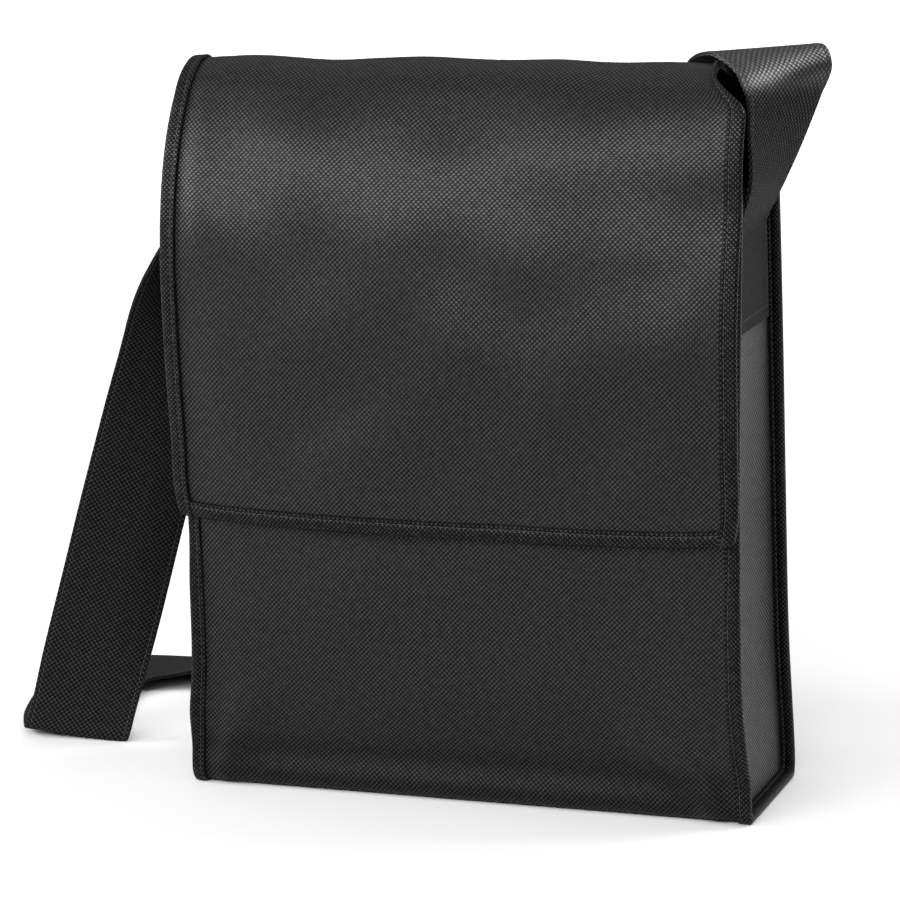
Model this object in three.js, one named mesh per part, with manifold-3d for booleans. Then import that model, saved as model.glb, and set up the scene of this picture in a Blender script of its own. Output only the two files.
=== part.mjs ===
// Document bag of black non-woven cloth: one wrapped sheet with a flap, two gussets, bound seams and a
// wide shoulder strap. Millimetres, +Z up, the front faces -Y, and the origin is on the floor under the
// middle of the base.
import * as THREE from "three";
import { mergeVertices } from "three/addons/utils/BufferGeometryUtils.js";
import Module from "manifold-3d";

const wasm = await Module();
wasm.setup();

// Driving dimensions
const WIDTH = 290; // over the bound side edges at the base
const HEIGHT = 360; // floor to the crown of the flap
const CLOTH = 1; // thickness of one sheet
const GAP = 0.3; // clearance between sewn layers
const SEAM = 6.5; // seam allowance that stands outside each gusset
const TAPE_WALL = 1; // thickness of the folded binding tape
const TAPE_LEG = 7; // how far the flap's tape reaches over an edge
const SEAM_LEG = 6; // how far the gusset seams' tape does
const HEM_PROUD = 0.4; // how far the hem tape lies over the side tapes at the flap's corners
const STRAP_WIDTH = 55;
const STRAP_THICK = 2; // two layers
const STRAP_SLANT = 0.97; // least sine between the strap's run and its crossings that widens a crossing
const PATCH_END = 234; // lower end of the strap on each gusset
const PATCH_TOPS = { left: 270, right: 281 }; // where the strap leaves each gusset
const PATCH_CURL = 4; // the last of the patch, where the strap starts to lift
const STRAP_SET_BACK = 1.5; // the right patch sits this far behind the gusset's middle

// Resolution of the faceted sheets
const WRAP_STEPS = 2; // stations for each row of the table
const WRAP_COLUMNS = 20;
const GUSSET_COLUMNS = 5;
const GUSSET_ROWS = 14;
const GUSSET_ROW_POWER = 1.3; // the rows lie closer together near the foot
const STRAP_STEPS = 2;
const STRAP_COLUMNS = 4;
const PROBE = 0.02; // step, in rows or shares of the half width, over which a normal is taken
const WELD = 1e-4; // corners closer than this are one

// The wrap from the mouth down the front, under the base, up the back, over the crown and down the flap.
// Each row is one section: its height, its depth at the left edge, the middle and the right edge, and how
// far the left and right edges are pulled in.
const WRAP = [
  { at: "mouth", z: 300, left: -34, middle: -39, right: -31.5, pullLeft: 3, pullRight: 2 },
  { at: "front high", z: 245, left: -39, middle: -45, right: -39.5, pullLeft: 4, pullRight: 1.4 },
  { at: "front mid", z: 185, left: -41.5, middle: -49, right: -43.5, pullLeft: 4.5, pullRight: 1.8 },
  { at: "flap line", z: 137, left: -42, middle: -51, right: -45, pullLeft: 5, pullRight: 2 },
  { at: "belly", z: 95, left: -42, middle: -51, right: -46, pullLeft: 5.2, pullRight: 2 },
  { at: "low belly", z: 60, left: -42, middle: -47.5, right: -45, pullLeft: 4.3, pullRight: 2 },
  { at: "overhang", z: 40, left: -41.8, middle: -43, right: -42, pullLeft: 2.2, pullRight: 1.4 },
  { at: "valley", z: 21, left: -40, middle: -37.8, right: -39.4, pullLeft: 0.4, pullRight: 0.5 },
  { at: "roll", z: 7.5, left: -40.8, middle: -40.4, right: -40.2, pullLeft: 0, pullRight: 0 },
  { at: "front fold", z: 2.4, left: -38.4, middle: -38, right: -37.6, pullLeft: 0, pullRight: 0 },
  { at: "sole front", z: CLOTH / 2, left: -33.5, middle: -33.5, right: -33.5, pullLeft: 0, pullRight: 0 },
  { at: "sole", z: CLOTH / 2, left: 0, middle: 0, right: 0, pullLeft: 0, pullRight: 0 },
  { at: "sole back", z: CLOTH / 2, left: 33.5, middle: 33.5, right: 33.5, pullLeft: 0, pullRight: 0 },
  { at: "back fold", z: 2.4, left: 38.5, middle: 38.5, right: 38.5, pullLeft: 0, pullRight: 0 },
  { at: "back low", z: 9, left: 40.5, middle: 40.5, right: 40.5, pullLeft: 0, pullRight: 0 },
  { at: "back belly", z: 76, left: 38.5, middle: 42, right: 39.5, pullLeft: 3, pullRight: 2 },
  { at: "back mid", z: 150, left: 37, middle: 43, right: 37.5, pullLeft: 4, pullRight: 2 },
  { at: "back high", z: 228, left: 36, middle: 42, right: 35.5, pullLeft: 4, pullRight: 1.8 },
  { at: "back top", z: 300, left: 33.5, middle: 37, right: 34, pullLeft: 3, pullRight: 2.2 },
  { at: "back bend", z: 325, left: 28, middle: 30, right: 28.5, pullLeft: 1, pullRight: 1.5 },
  { at: "crown back", z: 348, left: 16, middle: 17, right: 16, pullLeft: 0, pullRight: 1 },
  { at: "crown", z: HEIGHT - CLOTH / 2, left: 0, middle: 0, right: 0, pullLeft: 0, pullRight: 1 },
  { at: "crown front", z: 354, left: -15, middle: -16, right: -15, pullLeft: 0, pullRight: 1 },
  { at: "brow", z: 341, left: -25.5, middle: -28, right: -26, pullLeft: 0, pullRight: 1 },
  { at: "flap bend", z: 318, left: -37.5, middle: -41, right: -34, pullLeft: 0, pullRight: 1 },
  { at: "flap high", z: 295, left: -44.5, middle: -48, right: -36.5, pullLeft: 0, pullRight: 1 },
  { at: "flap swell", z: 268, left: -48.5, middle: -53, right: -43.5, pullLeft: 0, pullRight: 1 },
  { at: "flap mid", z: 240, left: -49, middle: -56, right: -48, pullLeft: 0, pullRight: 1 },
  { at: "flap fall", z: 208, left: -48, middle: -57.5, right: -49.5, pullLeft: 0, pullRight: 1 },
  { at: "flap low", z: 178, left: -47, middle: -58, right: -50, pullLeft: 0.5, pullRight: 1 },
  { at: "hem top", z: 153, left: -46.5, middle: -58, right: -50.5, pullLeft: 0.6, pullRight: 0.8 },
  { at: "hem", z: 139, left: -46.5, middle: -58, right: -51, pullLeft: 2.6, pullRight: 2.6 },
];
const ROW = Object.fromEntries(WRAP.map((row, index) => [row.at, index]));
const BULGE_POWER = 2.4; // how square the bulge across the width is
const HEM_CORNER_RISE = 2.5; // the hem's cut rises this much at its two rounded corners
const EDGE_POWER = 9; // how close to the side edges the corners rise and the creases fade
const SOLE_EDGE = 0.89; // share of the half width past which the base is lifted over its binding

// Below the flap the bound front seams stand forward of the panel, most at mid height.
const FIN = { forward: 3.2, low: 12, full: 40, fall: 100, end: 134 };

// The gussets fall inwards at mid height, and are flat under the strap's ends.
const SAG = { inward: 4, full: 70, fall: 150, end: 228 };

// The strap presses the right shoulder of the flap down and in; the left one droops under its binding.
const SHOULDERS = [
  { side: 1, from: 0.7, power: 2, drop: -1, inward: 18, low: 338, high: 358 },
  { side: 1, from: 0.35, power: 1, drop: 2, inward: 0, low: 338, high: 358 },
  { side: -1, from: 0.9, power: 1.2, drop: 1.3, inward: 0.4, low: 324, high: 358 },
];

// Soft creases: each runs between two points of a panel (across, up) and stands proud by its height.
const CREASES = [
  { on: "front", x0: 132, z0: 9, x1: 80, z1: 54, width: 9, height: 6 },
  { on: "front", x0: -134, z0: 8, x1: -96, z1: 66, width: 12, height: 3.5 },
  { on: "front", x0: 120, z0: 40, x1: 128, z1: 122, width: 13, height: 1.5 },
  { on: "flap", x0: -128, z0: 330, x1: -112, z1: 255, width: 16, height: 1.6 },
  { on: "flap", x0: -60, z0: 165, x1: 40, z1: 255, width: 22, height: 1.4 },
  { on: "flap", x0: 35, z0: 150, x1: 110, z1: 215, width: 18, height: -1.4 },
];

// The strap's free run from the right gusset to the left one: the middle of each crossing, and the
// direction across the strap from its near edge to its far edge.
const STRAP_RUN = [
  { at: "right lift", x: 141.5, y: 1.5, z: 292, across: [0, 1, -0.05] },
  { at: "right out", x: 145, y: 1.5, z: 302, across: [0, 0.98, -0.17] },
  { at: "right rise", x: 148.5, y: 4.5, z: 322, across: [0.18, 0.95, -0.22] },
  { at: "right turn", x: 152.5, y: 8, z: 343, across: [0.39, 0.92, -0.09] },
  { at: "crest front", x: 151.5, y: 12.5, z: 355.5, across: [0.62, 0.78, 0] },
  { at: "crest", x: 142, y: 18.5, z: 363, across: [0.75, 0.66, 0.01] },
  { at: "crest back", x: 128, y: 30, z: 357, across: [0.82, 0.57, -0.06] },
  { at: "over", x: 119, y: 48, z: 338, across: [0.85, 0.47, -0.2] },
  { at: "behind high", x: 104, y: 60, z: 300, across: [0.87, 0.3, -0.38] },
  { at: "behind", x: 72, y: 75, z: 232, across: [0.87, 0.08, -0.48] },
  { at: "behind mid", x: 28, y: 89, z: 155, across: [0.84, 0, -0.54] },
  { at: "behind low", x: -25, y: 102, z: 96, across: [0.74, 0, -0.68] },
  { at: "landing", x: -82, y: 118, z: 57, across: [0.46, 0.12, -0.88] },
  { at: "on edge", x: -138, y: 130, z: 30, across: [0.06, 0.45, -0.89] },
  { at: "tipping", x: -188, y: 140, z: 9.5, across: [-0.2, 0.94, -0.27] },
  { at: "flat", x: -226, y: 136, z: 5.6, across: [-0.32, 0.93, -0.12] },
  { at: "turn back", x: -254, y: 121, z: 6, across: [-0.66, 0.74, 0] },
  { at: "turn", x: -263, y: 94, z: 5.4, across: [-0.94, 0.26, 0.12] },
  { at: "turn front", x: -257.5, y: 65, z: 3.4, across: [-0.985, 0.05, 0.09] },
  { at: "floor", x: -249.5, y: 37.5, z: 2, across: [-0.985, -0.05, 0.07] },
  { at: "fold back", x: -238.6, y: 16.6, z: 2, across: [-0.985, -0.1, 0.09] },
  { at: "fold", x: -235, y: 10.9, z: 3.2, across: [-0.988, -0.1, 0.11] },
  { at: "fold front", x: -232.1, y: 10.4, z: 10, across: [-0.989, -0.107, 0.1] },
  { at: "hang low", x: -223.6, y: 12.4, z: 40, across: [-0.96, -0.2, 0.2] },
  { at: "hang", x: -211.5, y: 15, z: 80, across: [-0.89, -0.31, 0.28] },
  { at: "hang mid", x: -198, y: 17, z: 125, across: [-0.86, -0.4, 0.3] },
  { at: "hang high", x: -182.5, y: 17, z: 172, across: [-0.83, -0.47, 0.28] },
  { at: "left bend", x: -168.5, y: 14, z: 213, across: [-0.7, -0.66, 0.24] },
  { at: "left twist", x: -158, y: 6, z: 249, across: [-0.36, -0.93, 0.12] },
  { at: "left rise", x: -152, y: 2.5, z: 267, across: [-0.13, -0.99, 0.05] },
  { at: "left arch", x: -144, y: 0.5, z: 283, across: [0, -1, 0] },
];

const CREASE_FADE = 0.55; // share of a crease's length where it starts to die away
const CREASE_EDGE = 0.86; // share of the half width where creases die away towards the tapes

const { smoothstep, clamp, lerp } = THREE.MathUtils;
const HALF = WIDTH / 2 - GAP - TAPE_WALL; // half the cloth's own width
const TAPE_EDGE = 1 - TAPE_LEG / HALF; // share of the half width where the side tapes end
const LAST = WRAP.length - 1;

// Surface of the wrap

function columnCurve(xOf, depth) {
  const points = WRAP.map((row) => new THREE.Vector3(xOf(row), row[depth], row.z));
  return new THREE.CatmullRomCurve3(points, false, "centripetal");
}

const leftEdge = columnCurve((row) => row.pullLeft - HALF, "left");
const middleLine = columnCurve(() => 0, "middle");
const rightEdge = columnCurve((row) => HALF - row.pullRight, "right");

// How far a crease lifts the point (x, z) of its panel.
function creaseLift(crease, x, z) {
  const along = new THREE.Vector2(crease.x1 - crease.x0, crease.z1 - crease.z0);
  const from = new THREE.Vector2(x - crease.x0, z - crease.z0);
  const share = clamp(from.dot(along) / along.lengthSq(), 0, 1);
  const off = from.addScaledVector(along, -share).length() / crease.width;
  const fade = 1 - smoothstep(share, CREASE_FADE, 1);
  return crease.height * Math.exp(-off * off) * fade;
}

// The middle of the sheet at a row (which may fall between two rows) and a share u of the half width.
function wrapPoint(row, u) {
  const onFlap = row > ROW.crown;
  const edgeShare = Math.abs(u) ** EDGE_POWER;
  const t = row / LAST;
  const left = leftEdge.getPoint(t);
  const right = rightEdge.getPoint(t);
  const bulge = middleLine.getPoint(t).sub(left).sub(right).add(left.clone().lerp(right, 0.5));
  const point = left.lerp(right, (u + 1) / 2).addScaledVector(bulge, 1 - Math.abs(u) ** BULGE_POWER);
  if (onFlap) point.z += HEM_CORNER_RISE * edgeShare * smoothstep(row, ROW["flap low"], LAST);
  for (const { side, from, power, drop, inward, low, high } of SHOULDERS) {
    const droop = Math.max(0, (side * u - from) / (1 - from)) ** power * smoothstep(point.z, low, high);
    point.x -= side * inward * droop;
    point.z -= drop * droop;
  }
  const inside = 1 - smoothstep(Math.abs(u), CREASE_EDGE, TAPE_EDGE);
  const panel = onFlap ? "flap" : row < ROW["front fold"] ? "front" : "other";
  for (const crease of CREASES)
    if (crease.on === panel) point.y -= creaseLift(crease, point.x, point.z) * inside;
  if (panel === "front") {
    const share = Math.max(0, (Math.abs(u) - TAPE_EDGE) / (1 - TAPE_EDGE));
    const height = smoothstep(point.z, FIN.low, FIN.full) * (1 - smoothstep(point.z, FIN.fall, FIN.end));
    point.y -= FIN.forward * share * height;
  }
  const lift = Math.abs(u) > SOLE_EDGE ? TAPE_WALL + GAP : 0;
  point.z = Math.max(point.z, CLOTH / 2 + lift);
  return point;
}

// The outward normal of the wrap, from points a small step apart.
function wrapNormal(row, u) {
  const along = wrapPoint(Math.min(row + PROBE, LAST), u).sub(wrapPoint(Math.max(row - PROBE, 0), u));
  const inner = clamp(u, -1 + PROBE, 1 - PROBE);
  const across = wrapPoint(row, inner + PROBE).sub(wrapPoint(row, inner - PROBE));
  return along.cross(across).normalize();
}

// Solids

// Turns the faces of a closed mesh outwards.
function facingOut(positions, triangles) {
  const geometry = new THREE.BufferGeometry();
  const numbers = positions.flatMap((point) => point.toArray());
  geometry.setAttribute("position", new THREE.Float32BufferAttribute(numbers, 3));
  let volume = 0;
  for (const [a, b, c] of triangles) volume += positions[a].dot(positions[b].clone().cross(positions[c]));
  const faces = volume < 0 ? triangles.map(([a, b, c]) => [a, c, b]) : triangles;
  geometry.setIndex(faces.flat());
  return geometry;
}

// A sheet of even thickness over a grid of points and normals.
function sheetSolid(rows, columns, thickness, at) {
  const outer = [];
  const inner = [];
  for (let i = 0; i <= rows; i++)
    for (let j = 0; j <= columns; j++) {
      const { point, normal } = at(i, j);
      outer.push(point.clone().addScaledVector(normal, thickness / 2));
      inner.push(point.clone().addScaledVector(normal, -thickness / 2));
    }
  const count = outer.length;
  const id = (i, j) => i * (columns + 1) + j;
  const triangles = [];
  const quad = (a, b, c, d) => triangles.push([a, b, c], [a, c, d]);
  for (let i = 0; i < rows; i++)
    for (let j = 0; j < columns; j++) {
      const [a, b, c, d] = [id(i, j), id(i + 1, j), id(i + 1, j + 1), id(i, j + 1)];
      quad(a, b, c, d);
      quad(a + count, d + count, c + count, b + count);
    }
  for (let i = 0; i < rows; i++)
    for (const [from, to] of [[id(i, 0), id(i + 1, 0)], [id(i + 1, columns), id(i, columns)]])
      quad(from, from + count, to + count, to);
  for (let j = 0; j < columns; j++)
    for (const [from, to] of [[id(0, j + 1), id(0, j)], [id(rows, j), id(rows, j + 1)]])
      quad(from, from + count, to + count, to);
  return facingOut([...outer, ...inner], triangles);
}

// A closed outline carried along stations. Each station holds a point and normal on the cloth's edge and
// another pair a tape's reach in from it; each outline point is (reach in from the edge, offset along the
// normal). The faces are split along the same diagonals as the cloth's own.
function sweptSolid(stations, outline, hand) {
  const positions = stations.flatMap(({ edge, edgeNormal, inner, innerNormal }) =>
    outline.map(([reach, offset]) => {
      const share = reach / TAPE_LEG;
      const normal = edgeNormal.clone().lerp(innerNormal, Math.max(share, 0)).normalize();
      return edge.clone().lerp(inner, share).addScaledVector(normal, offset);
    }));
  const sides = outline.length;
  const triangles = [];
  for (let i = 0; i + 1 < stations.length; i++)
    for (let k = 0; k < sides; k++) {
      const next = (k + 1) % sides;
      const [a, b] = [i * sides + k, i * sides + next];
      const inwards = outline[next][0] > outline[k][0];
      if (inwards === hand > 0) triangles.push([a, b, a + sides], [b, b + sides, a + sides]);
      else triangles.push([a, b, b + sides], [a, b + sides, a + sides]);
    }
  const shape = outline.map(([reach, offset]) => new THREE.Vector2(reach, offset));
  const turned = THREE.ShapeUtils.isClockWise(shape);
  const last = (stations.length - 1) * sides;
  for (const [a, b, c] of THREE.ShapeUtils.triangulateShape(shape, [])) {
    const cap = turned ? [a, b, c] : [a, c, b];
    triangles.push(turned ? [c, b, a] : cap);
    triangles.push((turned ? cap : [a, b, c]).map((k) => k + last));
  }
  return facingOut(positions, triangles);
}

function toManifold(geometry) {
  const merged = mergeVertices(geometry, WELD);
  return new wasm.Manifold(new wasm.Mesh({
    numProp: 3,
    vertProperties: new Float32Array(merged.attributes.position.array),
    triVerts: new Uint32Array(merged.index.array),
  }));
}

// Several overlapping closed meshes joined into one.
function joined(geometries) {
  const mesh = geometries.map(toManifold).reduce((sum, next) => sum.add(next)).getMesh();
  const geometry = new THREE.BufferGeometry();
  geometry.setAttribute("position", new THREE.BufferAttribute(mesh.vertProperties, 3));
  geometry.setIndex(new THREE.BufferAttribute(mesh.triVerts, 1));
  return geometry;
}

// Stations along the wrap's edges

const ROW_STEP = 1 / WRAP_STEPS;
const COLUMNS = Array.from({ length: WRAP_COLUMNS + 1 }, (_, j) => {
  if (j === 0 || j === WRAP_COLUMNS) return Math.sign(j - 1);
  return lerp(-TAPE_EDGE, TAPE_EDGE, (j - 1) / (WRAP_COLUMNS - 2));
});

function rowsBetween(first, last) {
  const count = Math.round((last - first) * WRAP_STEPS);
  return Array.from({ length: count + 1 }, (_, i) => first + i * ROW_STEP);
}

// A station on the left (-1) or right (1) edge of the wrap.
function sideStation(row, side) {
  const [edgeNormal, innerNormal] = [wrapNormal(row, side), wrapNormal(row, side * TAPE_EDGE)];
  return { edge: wrapPoint(row, side), edgeNormal, inner: wrapPoint(row, side * TAPE_EDGE), innerNormal };
}

// A station on the flap's lower edge.
function hemStation(u) {
  const above = LAST - ROW_STEP;
  const [edgeNormal, innerNormal] = [wrapNormal(LAST, u), wrapNormal(above, u)];
  return { edge: wrapPoint(LAST, u), edgeNormal, inner: wrapPoint(above, u), innerNormal };
}

// The last of some stations carried on a little in the direction that they run.
function carriedOn(stations, distance) {
  const [before, end] = stations.slice(-2);
  const step = end.edge.clone().sub(before.edge).setLength(distance);
  return [...stations, { ...end, edge: end.edge.clone().add(step), inner: end.inner.clone().add(step) }];
}

// The section of a folded tape round a stack of layers, from the outer leg round to the inner one.
function tapeSection(outerFace, innerFace, outerLeg, innerLeg, proud = 0) {
  const slot = -GAP;
  const web = -GAP - TAPE_WALL;
  return [
    [outerLeg, outerFace + TAPE_WALL + proud],
    [web, outerFace + TAPE_WALL + proud],
    [web, innerFace - TAPE_WALL - proud],
    [innerLeg, innerFace - TAPE_WALL - proud],
    [innerLeg, innerFace],
    [slot, innerFace],
    [slot, outerFace],
    [outerLeg, outerFace],
  ];
}

const CLEAR = CLOTH / 2 + GAP; // from the middle of a sheet to the next layer
const FLANGE_FACE = -CLEAR; // outer face of the gusset's allowance, under the wrap
const FLANGE_BACK = FLANGE_FACE - CLOTH;
const SEAM_TAPE = tapeSection(CLEAR, FLANGE_BACK - GAP, SEAM_LEG, SEAM - CLOTH);
const FLAP_TAPE = tapeSection(CLEAR, -CLEAR, TAPE_LEG, TAPE_LEG);
const HEM_TAPE = tapeSection(CLEAR, -CLEAR, TAPE_LEG, TAPE_LEG, HEM_PROUD);

// The gussets are sewn in from the mouth, round the base, to the top of the back.
const SEAM_END = ROW["back top"];
const SEAM_ROWS = rowsBetween(ROW.mouth, SEAM_END);

// Pieces

function bodyWrap() {
  const rows = LAST * WRAP_STEPS;
  return sheetSolid(rows, WRAP_COLUMNS, CLOTH, (i, j) => {
    const [row, u] = [i * ROW_STEP, COLUMNS[j]];
    return { point: wrapPoint(row, u), normal: wrapNormal(row, u) };
  });
}

// The line in the middle of a gusset's allowance along which its panel is sewn.
function seamLine(side) {
  return SEAM_ROWS.map((row) => {
    const { edge, edgeNormal, inner, innerNormal } = sideStation(row, side);
    const share = SEAM / TAPE_LEG;
    const normal = edgeNormal.lerp(innerNormal, share).normalize();
    return edge.lerp(inner, share).addScaledVector(normal, (FLANGE_FACE + FLANGE_BACK) / 2);
  });
}

// The point of a line at a height, on the stretch before or after the line's lowest point.
function pointAtHeight(line, z) {
  for (let i = 0; i + 1 < line.length; i++) {
    const [a, b] = [line[i], line[i + 1]];
    if (z <= Math.max(a.z, b.z) && z >= Math.min(a.z, b.z) && a.z !== b.z)
      return a.clone().lerp(b, (z - a.z) / (b.z - a.z));
  }
  return line[0].z > line.at(-1).z === z > line[0].z ? line[0].clone() : line.at(-1).clone();
}

const seams = Object.fromEntries([-1, 1].map((side) => {
  const line = seamLine(side);
  const foot = Math.min(...line.map((p) => p.z));
  const top = Math.min(line[0].z, line.at(-1).z);
  return [side, { front: line, back: [...line].reverse(), foot, top }];
}));

// The middle of a gusset panel at a height and a share of its depth from front to back.
function gussetPoint(side, z, share) {
  const { front, back } = seams[side];
  const point = pointAtHeight(front, z).lerp(pointAtHeight(back, z), share);
  const height = smoothstep(z, 0, SAG.full) * (1 - smoothstep(z, SAG.fall, SAG.end));
  const across = 2 * share - 1;
  point.x -= side * SAG.inward * height * (1 - across * across);
  return point;
}

function gusset(side) {
  const { foot, top } = seams[side];
  const normal = new THREE.Vector3(side, 0, 0);
  const panel = sheetSolid(GUSSET_ROWS, GUSSET_COLUMNS, CLOTH, (i, j) => {
    const z = lerp(foot, top, (i / GUSSET_ROWS) ** GUSSET_ROW_POWER);
    return { point: gussetPoint(side, z, j / GUSSET_COLUMNS), normal };
  });
  const allowance = sweptSolid(SEAM_ROWS.map((row) => sideStation(row, side)), [
    [GAP, FLANGE_FACE],
    [GAP, FLANGE_BACK],
    [SEAM + CLOTH / 2, FLANGE_BACK],
    [SEAM + CLOTH / 2, FLANGE_FACE],
  ], side);
  return joined([panel, allowance]);
}

function seamTape(side) {
  return sweptSolid(SEAM_ROWS.map((row) => sideStation(row, side)), SEAM_TAPE, side);
}

function flapTape() {
  const corner = GAP + TAPE_WALL;
  const sides = [-1, 1].map((side) => {
    const [seamEnd, ...stations] = rowsBetween(SEAM_END, LAST).map((row) => sideStation(row, side));
    const share = GAP / seamEnd.edge.distanceTo(stations[0].edge);
    const start = Object.fromEntries(
      Object.entries(seamEnd).map(([key, vector]) => [key, vector.lerp(stations[0][key], share)]));
    return sweptSolid(carriedOn([start, ...stations], corner), FLAP_TAPE, side);
  });
  const hemRun = carriedOn(carriedOn(COLUMNS.map(hemStation), corner).reverse(), corner);
  return joined([...sides, sweptSolid(hemRun, HEM_TAPE, 1)]);
}

// The strap where it is sewn flat on a gusset: its middle and the direction across it.
function patchCrossing(side, z) {
  const across = gussetPoint(side, z, 1).sub(gussetPoint(side, z, 0)).setZ(0).normalize();
  const middle = gussetPoint(side, z, 0.5);
  middle.addScaledVector(across, (side > 0 ? STRAP_SET_BACK : 0) - middle.y);
  middle.x += side * (CLOTH / 2 + GAP + STRAP_THICK / 2);
  return { middle, across: across.multiplyScalar(side) };
}

function shoulderStrap() {
  const [right, left] = [[1, PATCH_TOPS.right], [-1, PATCH_TOPS.left]].map(([side, top]) => {
    const heights = [PATCH_END, (PATCH_END + top) / 2, top - PATCH_CURL, top];
    return heights.map((z) => patchCrossing(side, z));
  });
  const free = STRAP_RUN.map(({ x, y, z, across }) => ({
    middle: new THREE.Vector3(x, y, z),
    across: new THREE.Vector3(...across).normalize(),
  }));
  const rows = [...right, ...free, ...left.reverse()];
  const middles = new THREE.CatmullRomCurve3(rows.map((row) => row.middle), false, "centripetal");
  const directions = new THREE.CatmullRomCurve3(rows.map((row) => row.across), false, "catmullrom");
  const steps = (rows.length - 1) * STRAP_STEPS;
  return sheetSolid(steps, STRAP_COLUMNS, STRAP_THICK, (i, j) => {
    const t = i / steps;
    const along = middles.getTangent(t);
    const across = directions.getPoint(t).normalize();
    const normal = along.clone().cross(across).normalize();
    const slant = Math.max(Math.sqrt(1 - along.dot(across) ** 2), STRAP_SLANT);
    const reach = (STRAP_WIDTH / 2 / slant) * (2 * j / STRAP_COLUMNS - 1);
    const point = middles.getPoint(t).addScaledVector(across, reach);
    point.z = Math.max(point.z, STRAP_THICK / 2);
    return { point, normal };
  });
}

// Assembly

const CLOTH_FINISH = { color: 0x2b2b2d, roughness: 0.72, metalness: 0 };
const TAPE_FINISH = { color: 0x15151b, roughness: 0.6, metalness: 0 };

function piece(name, geometry, finish) {
  const mesh = new THREE.Mesh(geometry, new THREE.MeshStandardMaterial(finish));
  mesh.name = name;
  return mesh;
}

const bag = new THREE.Group();
bag.name = "document_bag";
bag.add(
  piece("body_wrap", bodyWrap(), CLOTH_FINISH),
  piece("gusset_left", gusset(-1), CLOTH_FINISH),
  piece("gusset_right", gusset(1), CLOTH_FINISH),
  piece("seam_tape_left", seamTape(-1), TAPE_FINISH),
  piece("seam_tape_right", seamTape(1), TAPE_FINISH),
  piece("flap_tape", flapTape(), TAPE_FINISH),
  piece("shoulder_strap", shoulderStrap(), CLOTH_FINISH),
);

export default bag;
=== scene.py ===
"""Looks of a soft black document bag with a flap and a wide strap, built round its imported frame.

Shapes are worked out in millimetres, as the bag is cut and sewn, and every mesh is made in metres. +Z is
up, the front faces -Y, and the origin is on the floor under the middle of the base.
"""

import logging
import math
from dataclasses import dataclass
from enum import Enum
from functools import cache

import bpy
import numpy as np
from mathutils import Matrix, Vector, noise


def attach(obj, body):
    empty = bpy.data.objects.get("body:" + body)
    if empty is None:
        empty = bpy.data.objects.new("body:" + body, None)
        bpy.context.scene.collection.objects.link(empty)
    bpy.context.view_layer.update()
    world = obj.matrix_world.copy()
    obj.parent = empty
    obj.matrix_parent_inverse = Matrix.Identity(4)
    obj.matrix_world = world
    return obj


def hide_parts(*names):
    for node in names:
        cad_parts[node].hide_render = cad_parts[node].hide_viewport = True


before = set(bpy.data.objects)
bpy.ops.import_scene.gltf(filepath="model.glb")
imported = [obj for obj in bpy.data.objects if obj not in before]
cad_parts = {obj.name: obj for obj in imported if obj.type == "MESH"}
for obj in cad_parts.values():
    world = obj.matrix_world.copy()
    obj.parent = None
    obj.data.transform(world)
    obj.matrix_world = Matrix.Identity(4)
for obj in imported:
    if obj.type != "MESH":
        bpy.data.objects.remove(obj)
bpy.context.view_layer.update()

LOG = logging.getLogger("document_bag")
MM = 0.001
BODY = "root"
TINY = 1e-12
SORT_DIGITS = 4

Colour = tuple[float, float, float]
Span = tuple[float, float]
Outline = list[tuple[float, float]]


class Side(Enum):
    """A side of the bag, seen from the front."""

    LEFT = -1
    RIGHT = 1


class Panel(Enum):
    """A part of the wrap that carries its own creases."""

    FRONT = "front"
    FLAP = "flap"


@dataclass(frozen=True)
class Section:
    """One row of the wrap: its height, its depth at three places, and how far its edges are pulled in."""

    at: str
    z: float
    left: float
    middle: float
    right: float
    pull_left: float
    pull_right: float


@dataclass(frozen=True)
class Crease:
    """A soft fold between two points (across, up) of a panel; it stands proud by its height."""

    panel: Panel
    x0: float
    z0: float
    x1: float
    z1: float
    width: float
    height: float


@dataclass(frozen=True)
class Shoulder:
    """How a top corner of the flap droops and is pushed in."""

    side: Side
    start: float
    power: float
    drop: float
    inward: float
    low: float = 318.0
    high: float = 358.0


@dataclass(frozen=True)
class Crossing:
    """One crossing of the strap: its middle, and the direction from the near edge to the far one."""

    at: str
    x: float
    y: float
    z: float
    across: tuple[float, float, float]


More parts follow.
